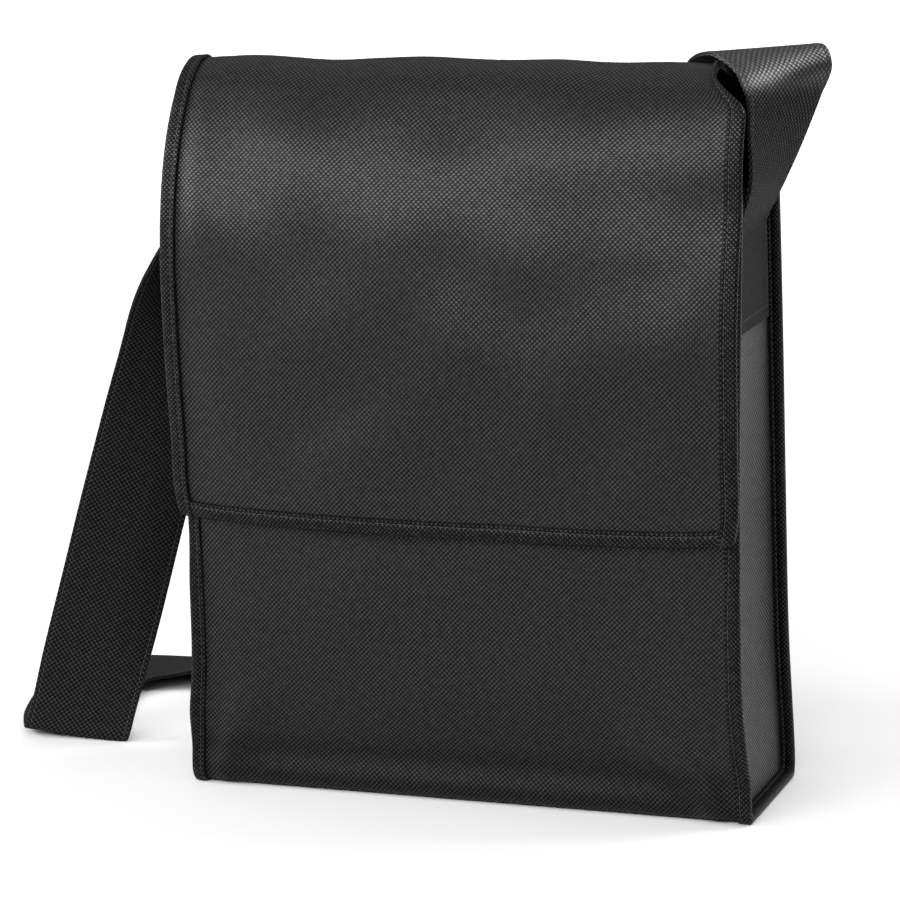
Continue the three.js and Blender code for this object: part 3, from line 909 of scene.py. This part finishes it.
@dataclass
class Seamstress:
    """Sews rows of stitches and gathers each piece's into one mesh."""

    pitch: float = 3.0
    length: float = 2.5
    width: float = 0.55
    height: float = 0.5
    under: float = 0.3
    feel: float = 1.0
    crisp: float = 60.0

    def __post_init__(self) -> None:
        """Shape the stitch that every row repeats."""
        self.form = StitchForm.shaped(self.length, self.width, self.height, self.under)

    def row(self, draft: MeshDraft, points: np.ndarray, normals: np.ndarray) -> None:
        """Sew one row of stitches.

        Args:
            draft: The mesh that takes the stitches.
            points: The line that they follow.
            normals: The cloth's normals along it.
        """
        along = run_lengths(points)
        count = max(2, int(along[-1] / self.pitch))
        at = (np.arange(count) + 0.5) * along[-1] / count
        before, after = (read_off(at + reach, along, points) for reach in (-self.feel, self.feel))
        out = unit(read_off(at, along, normals))
        forward = unit(after - before)
        across = unit(np.cross(out, forward))
        out = np.cross(forward, across)
        draft.copies(self.form, (before + after) / 2, np.stack([across, out, forward], axis=1))

    def finish(self, draft: MeshDraft, name: str) -> bpy.types.Object:
        """Make the gathered stitches one piece of thread.

        Args:
            draft: The mesh with all of its stitches.
            name: The piece's name.

        Returns:
            The finished piece.
        """
        piece = draft.make(name, self.crisp)
        piece.data.materials.append(THREAD.make())
        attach(piece, BODY)
        LOG.info("%s: %d faces", name, len(piece.data.polygons))
        return piece


def dress(piece: bpy.types.Object, material: bpy.types.Material, node: str) -> None:
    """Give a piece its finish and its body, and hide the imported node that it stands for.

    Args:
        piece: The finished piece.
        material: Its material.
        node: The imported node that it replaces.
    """
    piece.data.materials.append(material)
    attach(piece, BODY)
    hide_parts(node)
    LOG.info("%s: %d faces for %s", piece.name, len(piece.data.polygons), node)


@dataclass
class BodyWrap:
    """The wrapped sheet: front, base, back, crown and flap."""

    shape: WrapShape
    steps: int = 8
    columns: int = 110
    ripple: float = 2.6
    ripple_size: float = 45.0
    ripple_edge: Span = (0.8, 0.94)
    ripple_foot: Span = (24.0, 80.0)
    ripple_mouth: float = 0.6
    ripple_hem: Span = (1.2, 0.6)
    flat: tuple[float, float] = (0.287, 0.99)

    def _rippled(self, points: np.ndarray, rows: np.ndarray, shares: np.ndarray) -> np.ndarray:
        """Find small uneven swellings of the cloth, none at its edges and near the floor.

        Args:
            points: Grid of points of the sheet.
            rows: The grid's rows.
            shares: The grid's shares of the half width.

        Returns:
            The swelling of each point, outwards.
        """
        places = points.reshape(-1, 3) / self.ripple_size
        swell = np.array([noise.noise(Vector(place)) for place in places]).reshape(points.shape[:2])
        inside = 1 - smoothstep(np.abs(shares), *self.ripple_edge)[None, :]
        off_floor = smoothstep(points[..., 2], *self.ripple_foot)
        fading, gone = (LAST_ROW - from_hem for from_hem in self.ripple_hem)
        ends = hump(rows, (0, self.ripple_mouth), (fading, gone))
        return self.ripple * swell * inside * off_floor * ends[:, None]

    def build(self) -> bpy.types.Object:
        """Build the sheet.

        Returns:
            The finished piece.
        """
        rows = np.linspace(0, LAST_ROW, LAST_ROW * self.steps + 1)
        edge = self.shape.tape_edge
        inside = np.linspace(-edge, edge, self.columns - 3)
        rim = (edge + 1) / 2
        shares = np.concatenate([[-1, -rim], inside, [rim, 1]])
        points = self.shape.point(rows, shares)
        normals = self.shape.normal(rows, shares)
        points = points + normals * self._rippled(points, rows, shares)[..., None]
        along = run_lengths(points[:, len(shares) // 2])
        places = np.stack(np.broadcast_arrays(shares[None, :] * self.shape.half, along[:, None]), axis=-1)
        draft = MeshDraft()
        draft.sheet(points, normals, self.shape.cloth, places)
        piece = draft.make("bag_wrap")
        dress(piece, WRAP_CLOTH.make(), "body_wrap")
        LOG.info("wrap is %.0f mm long", along[-1])
        return piece


@dataclass
class TapeOutline:
    """The section of a folded tape round a stack of layers, as (reach in from the edge, offset)."""

    outer_face: float
    inner_face: float
    outer_leg: float
    inner_leg: float
    wall: float = 1.0
    gap: float = 0.3
    proud: float = 0.0
    stitch_in: float = 2.2
    pinch: float = 0.28
    groove: float = 0.8
    turned: float = 0.45
    edge_round: Span = (0.15, 0.12)
    edge_flat: float = 0.5
    swell: float = 0.08
    fold_in: float = 0.3
    thread_proud: float = 0.12
    fold_points: int = 9

    @property
    def top(self) -> float:
        """Return the offset of the tape's outer surface."""
        return self.outer_face + self.wall + self.proud

    @property
    def bottom(self) -> float:
        """Return the offset of the tape's inner surface."""
        return self.inner_face - self.wall - self.proud

    def _leg(self, leg: float, surface: float, out: float) -> Outline:
        """Find one leg's surface, pinched along its stitches.

        Args:
            leg: The leg's reach.
            surface: Offset of its outer surface.
            out: 1 where that surface faces out of the cloth, -1 where it faces in.

        Returns:
            The surface from the free edge to the fold.
        """
        stitch = leg - self.stitch_in
        round_in, round_down = self.edge_round
        return [
            (leg, surface - out * self.wall * self.turned),
            (leg - round_in, surface - out * round_down),
            (leg - self.edge_flat, surface),
            (stitch + self.groove, surface),
            (stitch, surface - out * self.pinch),
            (stitch - self.groove, surface),
            (stitch / 2, surface + out * self.swell),
            (self.fold_in, surface),
        ]

    def points(self) -> Outline:
        """Find the closed outline.

        Returns:
            The outline, from the outer leg round the fold to the inner leg and back inside.
        """
        middle = (self.top + self.bottom) / 2
        height = (self.top - self.bottom) / 2
        depth = self.gap + self.wall + self.fold_in
        turns = np.linspace(math.pi / 2, -math.pi / 2, self.fold_points)[1:-1]
        fold = [
            (self.fold_in - depth * math.cos(turn), middle + height * math.sin(turn)) for turn in turns
        ]
        inside = [
            (self.inner_leg, self.inner_face),
            (-self.gap, self.inner_face),
            (-self.gap, self.outer_face),
            (self.outer_leg, self.outer_face),
        ]
        inner = self._leg(self.inner_leg, self.bottom, -1)
        return self._leg(self.outer_leg, self.top, 1) + fold + inner[::-1] + inside

    def stitch_lines(self) -> list[tuple[float, float, int]]:
        """Return each row of stitches as (reach, offset, which way its cloth faces)."""
        sunk = self.pinch - self.thread_proud
        return [
            (self.outer_leg - self.stitch_in, self.top - sunk, 1),
            (self.inner_leg - self.stitch_in, self.bottom + sunk, -1),
        ]


@dataclass
class Gusset:
    """A side panel with the allowance that stands outside its seam."""

    shape: WrapShape
    side: Side
    seam: float = 6.5
    rows: int = 120
    columns: int = 36
    steps: int = 8
    row_power: float = 1.15
    sag: float = 4.0
    sag_rise: Span = (0.0, 70.0)
    sag_fall: Span = (150.0, 228.0)
    ripple: float = 0.9
    ripple_size: float = 38.0
    ripple_edge: float = 0.15
    ripple_foot: float = 12.0
    ripple_top: float = 14.0
    level: float = 0.05
    tie_break: float = 1e-6
    patch_end: float = 234.0
    flat: tuple[float, float] = (0.096, 0.3)

    def _flange(self) -> tuple[float, float]:
        """Return the offsets of the allowance's two faces, under the wrap."""
        face = -self.shape.cloth / 2 - self.shape.gap
        return face, face - self.shape.cloth

    def _seam_line(self) -> np.ndarray:
        """Return the line along which the panel is sewn, from the mouth round the base to the back."""
        run = side_run(self.shape, rows_between("mouth", "back top", self.steps), self.side)
        return run.place(self.seam, sum(self._flange()) / 2)[0]

    def panel_points(self, heights: np.ndarray, shares: np.ndarray) -> np.ndarray:
        """Find points in the middle of the panel.

        Args:
            heights: Heights above the floor.
            shares: Shares of the depth, from 0 at the front to 1 at the back.

        Returns:
            A grid of points, in millimetres.
        """
        line = self._seam_line()
        middle = len(line) // 2
        front, back = line[: middle + 1][::-1], line[middle:]
        edges = []
        for stretch in (front, back):
            rising = np.maximum.accumulate(stretch[:, 2]) + np.arange(len(stretch)) * self.tie_break
            lowest = np.searchsorted(rising, rising[0] + self.level)
            keep = slice(max(lowest - 1, 0), None)
            edges.append(read_off(heights, rising[keep], stretch[keep]))
        near, far = (edge[:, None, :] for edge in edges)
        points = near + (far - near) * shares[None, :, None]
        sunk = hump(heights, self.sag_rise, self.sag_fall)
        across = 2 * shares - 1
        points[..., 0] -= self.side.value * self.sag * sunk[:, None] * (1 - across**2)[None, :]
        return points

    def span(self) -> tuple[float, float]:
        """Return the heights of the panel's foot and top."""
        line = self._seam_line()
        return float(line[:, 2].min()), float(min(line[0, 2], line[-1, 2]))

    def _rippled(self, points: np.ndarray, heights: np.ndarray, shares: np.ndarray) -> np.ndarray:
        """Find small uneven swellings of the panel, none at its edges and under the strap.

        Args:
            points: Grid of points of the panel.
            heights: The grid's heights.
            shares: The grid's shares of the depth.

        Returns:
            The swelling of each point, outwards.
        """
        rim = self.ripple_edge
        inside = np.minimum(smoothstep(shares, 0, rim), 1 - smoothstep(shares, 1 - rim, 1))[None, :]
        above_foot = (heights[0], heights[0] + self.ripple_foot)
        rise = hump(heights, above_foot, (self.patch_end - self.ripple_top, self.patch_end))
        uneven = [noise.noise(Vector(place / self.ripple_size)) for place in points.reshape(-1, 3)]
        return self.ripple * np.array(uneven).reshape(points.shape[:2]) * inside * rise[:, None]

    def build(self) -> bpy.types.Object:
        """Build the panel and its allowance.

        Returns:
            The finished piece.
        """
        foot, top = self.span()
        heights = foot + (top - foot) * np.linspace(0, 1, self.rows + 1) ** self.row_power
        shares = np.linspace(0, 1, self.columns + 1)
        points = self.panel_points(heights, shares)
        down, across = np.gradient(points, axis=0), np.gradient(points, axis=1)
        normals = unit(np.cross(across, down)) * self.side.value
        points = points + normals * self._rippled(points, heights, shares)[..., None]
        places = np.stack([points[..., 1], points[..., 2]], axis=-1)
        draft = MeshDraft()
        draft.sheet(points, normals, self.shape.cloth, places)
        face, back = self._flange()
        run = side_run(self.shape, rows_between("mouth", "back top", self.steps), self.side)
        inner = self.seam + self.shape.cloth / 2
        outline = [(self.shape.gap, face), (self.shape.gap, back), (inner, back), (inner, face)]
        draft.sweep(*run.rings(outline))
        name = self.side.name.lower()
        piece = draft.make(f"gusset_panel_{name}")
        dress(piece, GUSSET_CLOTH.make(), f"gusset_{name}")
        return piece


@dataclass
class SeamTape:
    """The folded tape that binds a gusset's seam."""

    shape: WrapShape
    side: Side
    leg: float = 6.0
    inner_leg: float = 5.5
    steps: int = 12
    flat: tuple[float, float] = (0.018, 0.65)

    def build(self, seamstress: Seamstress) -> bpy.types.Object:
        """Build the tape and its stitches.

        Args:
            seamstress: Who sews the stitches.

        Returns:
            The finished tape.
        """
        clear = self.shape.cloth / 2 + self.shape.gap
        beneath = -clear - self.shape.cloth - self.shape.gap
        outline = TapeOutline(clear, beneath, self.leg, self.inner_leg)
        run = side_run(self.shape, rows_between("mouth", "back top", self.steps), self.side)
        draft = MeshDraft()
        draft.sweep(*run.rings(outline.points()))
        name = self.side.name.lower()
        piece = draft.make(f"seam_binding_{name}")
        dress(piece, TAPE_CLOTH.make(), f"seam_tape_{name}")
        thread = MeshDraft()
        for reach, offset, facing in outline.stitch_lines():
            points, normals = run.place(reach, offset)
            seamstress.row(thread, points, normals * facing)
        stitches = seamstress.finish(thread, f"seam_stitching_{name}")
        return piece


@dataclass
class FlapTape:
    """The folded tape that binds the flap's sides and hem."""

    shape: WrapShape
    leg: float = 7.0
    proud: float = 0.4
    steps: int = 12
    hem_steps: int = 120
    corner: float = 3.0
    corner_steps: int = 9
    corner_limit: float = 0.9
    start_clear: float = 0.02
    hem_rows: float = 0.5
    flat: tuple[float, float] = (0.018, 0.92)

    def _rounded(self, run: EdgeRun, distance: float) -> EdgeRun:
        """Carry the end of a side run on past the hem, and round its outer corner.

        Args:
            run: The run down one side of the flap.
            distance: How far it goes past the hem's edge.

        Returns:
            The longer run, whose fold curves in over its last stretch.
        """
        ahead = unit(run.edge[-1] - run.edge[-2])
        rounding = np.sin(np.linspace(0, math.pi / 2, self.corner_steps))
        reaches = distance - self.corner + self.corner * rounding
        kept = run_lengths(run.edge)
        keep = kept < kept[-1] + reaches[0]
        steps = reaches[:, None] * ahead
        drawn_in = self.corner - np.sqrt(np.maximum(self.corner**2 - (reaches - reaches[0]) ** 2, 0))
        drawn_in = np.minimum(drawn_in, self.corner * self.corner_limit)
        inwards = unit(run.inner[-1] - run.edge[-1]) * drawn_in[:, None]
        count = len(reaches)
        return EdgeRun(
            np.vstack([run.edge[keep], run.edge[-1] + steps + inwards]),
            np.vstack([run.edge_normal[keep], np.repeat(run.edge_normal[-1:], count, axis=0)]),
            np.vstack([run.inner[keep], run.inner[-1] + steps]),
            np.vstack([run.inner_normal[keep], np.repeat(run.inner_normal[-1:], count, axis=0)]),
            run.leg,
        )

    def _hem_run(self) -> EdgeRun:
        """Find the run along the flap's lower edge.

        Returns:
            The run, from left to right.
        """
        shares = np.linspace(-1, 1, self.hem_steps + 1)
        rows = np.array([LAST_ROW, LAST_ROW - self.hem_rows])
        points, normals = self.shape.point(rows, shares), self.shape.normal(rows, shares)
        return EdgeRun(points[0], normals[0], points[1], normals[1], self.leg)

    def build(self, seamstress: Seamstress) -> bpy.types.Object:
        """Build the three strips and their stitches.

        Args:
            seamstress: Who sews the stitches.

        Returns:
            The finished tape.
        """
        clear = self.shape.cloth / 2 + self.shape.gap
        side_outline = TapeOutline(clear, -clear, self.leg, self.leg, proud=self.proud)
        hem_outline = TapeOutline(clear, -clear, self.leg, self.leg)
        past = self.shape.gap + self.shape.tape_wall
        rows = rows_between("back top", "hem", self.steps)
        rows[0] += self.start_clear
        runs = [(self._rounded(side_run(self.shape, rows, side), past), side_outline) for side in Side]
        runs.append((self._hem_run(), hem_outline))
        draft, thread = MeshDraft(), MeshDraft()
        for run, outline in runs:
            draft.sweep(*run.rings(outline.points()))
            for reach, offset, facing in outline.stitch_lines():
                points, normals = run.place(reach, offset)
                seamstress.row(thread, points, normals * facing)
        piece = draft.make("flap_binding")
        dress(piece, TAPE_CLOTH.make(), "flap_tape")
        stitches = seamstress.finish(thread, "flap_stitching")
        return piece


@dataclass
class ShoulderStrap:
    """The wide strap: two layers sewn together along both edges, its ends sewn flat on the gussets."""

    gussets: dict[Side, Gusset]
    width: float = 55.0
    thick: float = 2.0
    least_slant: float = 0.97
    patch_end: float = 234.0
    patch_top_left: float = 270.0
    patch_top_right: float = 281.0
    patch_curl: float = 4.0
    set_back: float = 1.5
    steps: int = 12
    columns: int = 15
    edge_round: tuple[Span, Span] = ((0.1, 0.18), (0.0, 0.5))
    edge_down: Span = (0.2, 0.1)
    edge_flat: float = 0.7
    parting: float = 0.4
    stitch_in: float = 2.6
    pinch: float = 0.16
    groove: float = 0.7
    from_stitch: Span = (3.0, 6.0)
    thread_proud: float = 0.12
    end_row: float = 5.0
    end_proud: float = 0.1
    curl: float = 3.6
    curl_start: float = 0.1
    curl_rows: tuple[str, ...] = ("fold front", "hang", "hang high", "left twist")
    flat: tuple[float, float] = (0.055, 1.2)

    def _patch(self, side: Side) -> tuple[np.ndarray, np.ndarray]:
        """Find the crossings that are sewn on a gusset.

        Args:
            side: Which gusset.

        Returns:
            The crossings' middles and their directions, from the end upwards.
        """
        gusset = self.gussets[side]
        top = self.patch_top_right if side is Side.RIGHT else self.patch_top_left
        heights = np.array([self.patch_end, (self.patch_end + top) / 2, top - self.patch_curl, top])
        points = gusset.panel_points(heights, np.array([0, 0.5, 1]))
        across = unit((points[:, 2] - points[:, 0]) * (1, 1, 0))
        shift = (self.set_back if side is Side.RIGHT else 0) - points[:, 1, 1]
        middles = points[:, 1] + across * shift[:, None]
        middles[:, 0] += side.value * (gusset.shape.cloth / 2 + gusset.shape.gap + self.thick / 2)
        return middles, across * side.value

    def _curves(self) -> tuple[RowCurve, RowCurve]:
        """Find the strap's course.

        Returns:
            The curve along its middle, and the one of the directions across it.
        """
        right, left = self._patch(Side.RIGHT), self._patch(Side.LEFT)
        middles = np.array([(row.x, row.y, row.z) for row in STRAP_RUN])
        across = unit(np.array([row.across for row in STRAP_RUN], float))
        middles = np.vstack([right[0], middles, left[0][::-1]])
        across = np.vstack([right[1], across, left[1][::-1]])
        return RowCurve(middles), RowCurve(across, even=True)

    def _curled(self, rows: np.ndarray) -> np.ndarray:
        """Find how far the hanging strap's inner edge curls back.

        Args:
            rows: Rows along the strap.

        Returns:
            The curl at each row.
        """
        names = [row.at for row in STRAP_RUN]
        patch_rows = len(self._patch(Side.RIGHT)[0])
        low, full, fading, gone = (names.index(name) + patch_rows for name in self.curl_rows)
        return self.curl * hump(rows, (low, full), (fading, gone))

    def _outline(self) -> Outline:
        """Find the strap's section: two layers, pinched by stitches.

        Returns:
            The closed section, as (reach from the middle, offset).
        """
        half, top = self.width / 2, self.thick / 2
        stitch = half - self.stitch_in
        down_in, down = self.edge_down
        first, second = (stitch - step for step in self.from_stitch)
        upper = [(half - inset, offset) for inset, offset in self.edge_round]
        upper += [
            (half - down_in, top - down),
            (half - self.edge_flat, top),
            (stitch + self.groove, top),
            (stitch, top - self.pinch),
            (stitch - self.groove, top),
            (first, top),
        ]
        across = np.linspace(second, -second, self.columns)
        top_face = upper + [(float(reach), top) for reach in across]
        top_face += [(-reach, offset) for reach, offset in upper[::-1]]
        parting = half - self.parting
        lower = [(-reach, -offset) for reach, offset in top_face]
        return top_face + [(-parting, 0.0)] + lower + [(parting, 0.0)]

    def build(self, seamstress: Seamstress) -> bpy.types.Object:
        """Build the strap and its stitches.

        Args:
            seamstress: Who sews the stitches.

        Returns:
            The finished strap.
        """
        middles, directions = self._curves()
        rows = np.linspace(0, middles.last, middles.last * self.steps + 1)
        middle, along = middles.at(rows), middles.tangent(rows)
        across = unit(directions.at(rows))
        normals = unit(np.cross(along, across))
        slant = np.maximum(np.sqrt(1 - (along * across).sum(1) ** 2), self.least_slant)
        outline = self._outline()
        half = self.width / 2
        curled = self._curled(rows)

        def line(reach: float, offset: float) -> np.ndarray:
            """Find a line along the strap.

            Args:
                reach: Distance across the strap from its middle.
                offset: Distance out of it.

            Returns:
                One point for each row.
            """
            points = middle + across * (reach / slant)[:, None]
            points[:, 2] = np.maximum(points[:, 2], self.thick / 2)
            back = max(0.0, -reach / half - self.curl_start) / (1 - self.curl_start)
            return points + normals * (offset - curled * back**2)[:, None]

        rings = np.stack([line(reach, offset) for reach, offset in outline], axis=1)
        length = run_lengths(middle)
        around = run_lengths(np.array(outline))
        places = np.stack(np.broadcast_arrays(around[None, :], length[:, None]), axis=-1)
        draft = MeshDraft()
        draft.sweep(rings, places)
        piece = draft.make("carrying_strap")
        dress(piece, STRAP_CLOTH.make(), "shoulder_strap")
        LOG.info("strap is %.0f mm long", length[-1])
        thread = MeshDraft()
        sunk = self.thick / 2 - self.pinch + self.thread_proud
        for facing in (1, -1):
            for edge in (1, -1):
                sewn = line(edge * (half - self.stitch_in), facing * sunk)
                seamstress.row(thread, sewn, normals * facing)
        reaches = np.linspace(self.stitch_in - half, half - self.stitch_in, self.steps)
        top = self.thick / 2 + self.end_proud
        first, last = np.searchsorted(length, (self.end_row, length[-1] - self.end_row))
        for at, facing in ((first, -1), (last, 1)):
            points = np.array([line(reach, facing * top)[at] for reach in reaches])
            seamstress.row(thread, points, np.repeat(normals[at : at + 1] * facing, len(points), axis=0))
        stitches = seamstress.finish(thread, "strap_stitching")
        return piece


@dataclass(frozen=True)
class SoftBox:
    """A soft studio light."""

    name: str
    place: tuple[float, float, float]
    aim: tuple[float, float, float]
    size: tuple[float, float]
    watts: float
    spread: float = 180.0

    def make(self) -> None:
        """Hang the light so that it faces what it lights."""
        lamp = bpy.data.lights.new(self.name, "AREA")
        lamp.shape = "RECTANGLE"
        lamp.size, lamp.size_y = self.size
        lamp.energy = self.watts
        lamp.spread = math.radians(self.spread)
        holder = bpy.data.objects.new(self.name, lamp)
        bpy.context.scene.collection.objects.link(holder)
        holder.location = self.place
        facing = Vector(self.aim) - Vector(self.place)
        holder.rotation_euler = facing.to_track_quat("-Z", "Y").to_euler()


@dataclass
class Studio:
    """The camera, the pale floor and the soft lights."""

    yaw: float = 20.57
    elevation: float = 12.529
    roll: float = -1.921
    focal_pixels: float = 3668.76
    picture: int = 900
    distance: float = 1.8
    target: tuple[float, float, float] = (-0.016734, 0.0, 0.167457)
    sensor: float = 36.0
    far: float = 60.0
    floor_size: float = 14.0
    floor_corner: float = 0.25
    floor_drop: float = 0.0002
    ambient: float = 0.05
    ceiling: float = 1.15
    ceiling_power: float = 2.0
    lights: tuple[SoftBox, ...] = (
        SoftBox("key", (-0.2, -1.85, 1.26), (0, 0, 0.17), (3, 0.8), 64),
        SoftBox("side", (-1.8, -0.6, 0.9), (0, 0, 0.2), (0.9, 0.9), 36),
        SoftBox("rim", (1.45, 0.8, 1.5), (0.14, 0.02, 0.36), (0.9, 0.9), 32),
        SoftBox("backdrop", (-0.9, 2.9, 2.2), (-0.9, 2.9, 0), (5, 2.6), 70, 90),
    )

    def camera(self) -> None:
        """Set up the camera at the photograph's angle."""
        yaw, rise, roll = (math.radians(angle) for angle in (self.yaw, self.elevation, self.roll))
        back = Vector((math.sin(yaw) * math.cos(rise), -math.cos(yaw) * math.cos(rise), math.sin(rise)))
        right = Vector((math.cos(yaw), math.sin(yaw), 0))
        up = back.cross(right)
        turned_right = right * math.cos(roll) + up * math.sin(roll)
        turned_up = up * math.cos(roll) - right * math.sin(roll)
        lens = bpy.data.cameras.new("camera")
        lens.sensor_width = self.sensor
        lens.lens = self.focal_pixels * self.sensor / self.picture
        lens.clip_end = self.far
        holder = bpy.data.objects.new("camera", lens)
        bpy.context.scene.collection.objects.link(holder)
        axes = Matrix((turned_right, turned_up, back)).transposed().to_4x4()
        axes.translation = Vector(self.target) + back * self.distance
        holder.matrix_world = axes
        bpy.context.scene.camera = holder

    def floor(self) -> None:
        """Lay the pale floor, with its corners cut off."""
        bpy.ops.object.select_all(action="DESELECT")
        bpy.ops.mesh.primitive_plane_add(size=self.floor_size, location=(0, 0, 0))
        floor = bpy.context.object
        floor.name = "studio_floor"
        bpy.ops.object.mode_set(mode="EDIT")
        bpy.ops.mesh.select_all(action="SELECT")
        corner = self.floor_size * self.floor_corner
        bpy.ops.mesh.bevel(offset=corner, segments=6, affect="VERTICES")
        bpy.ops.transform.translate(value=(0, 0, -self.floor_drop))
        bpy.ops.object.mode_set(mode="OBJECT")
        floor.data.materials.append(FloorFinish().make())

    def build(self) -> None:
        """Build the camera, floor, lights and surroundings."""
        self.camera()
        self.floor()
        for light in self.lights:
            light.make()
        world = bpy.data.worlds.new("studio")
        world.use_nodes = True
        tree = world.node_tree
        sky = tree.nodes["Background"]
        sky.inputs["Color"].default_value = (1, 1, 1, 1)
        split = tree.nodes.new("ShaderNodeSeparateXYZ")
        tree.links.new(tree.nodes.new("ShaderNodeTexCoord").outputs["Generated"], split.inputs[0])
        rise = tree.nodes.new("ShaderNodeMath")
        rise.operation = "POWER"
        rise.inputs[1].default_value = self.ceiling_power
        tree.links.new(split.outputs["Z"], rise.inputs[0])
        level = tree.nodes.new("ShaderNodeMath")
        level.operation = "MULTIPLY_ADD"
        level.inputs[1].default_value = self.ceiling
        level.inputs[2].default_value = self.ambient
        tree.links.new(rise.outputs[0], level.inputs[0])
        tree.links.new(level.outputs[0], sky.inputs["Strength"])
        bpy.context.scene.world = world
        bpy.context.scene.view_settings.view_transform = "Standard"
        LOG.info("studio is ready")


def main() -> None:
    """Build the studio and the bag's pieces in order."""
    logging.basicConfig(level=logging.INFO, format="%(name)s: %(message)s")
    Studio().build()
    shape = WrapShape()
    seamstress = Seamstress()
    BodyWrap(shape).build()
    gussets = {side: Gusset(shape, side) for side in Side}
    for side, gusset in gussets.items():
        gusset.build()
        SeamTape(shape, side).build(seamstress)
    FlapTape(shape).build(seamstress)
    ShoulderStrap(gussets).build(seamstress)


if __name__ == "__main__":
    main()
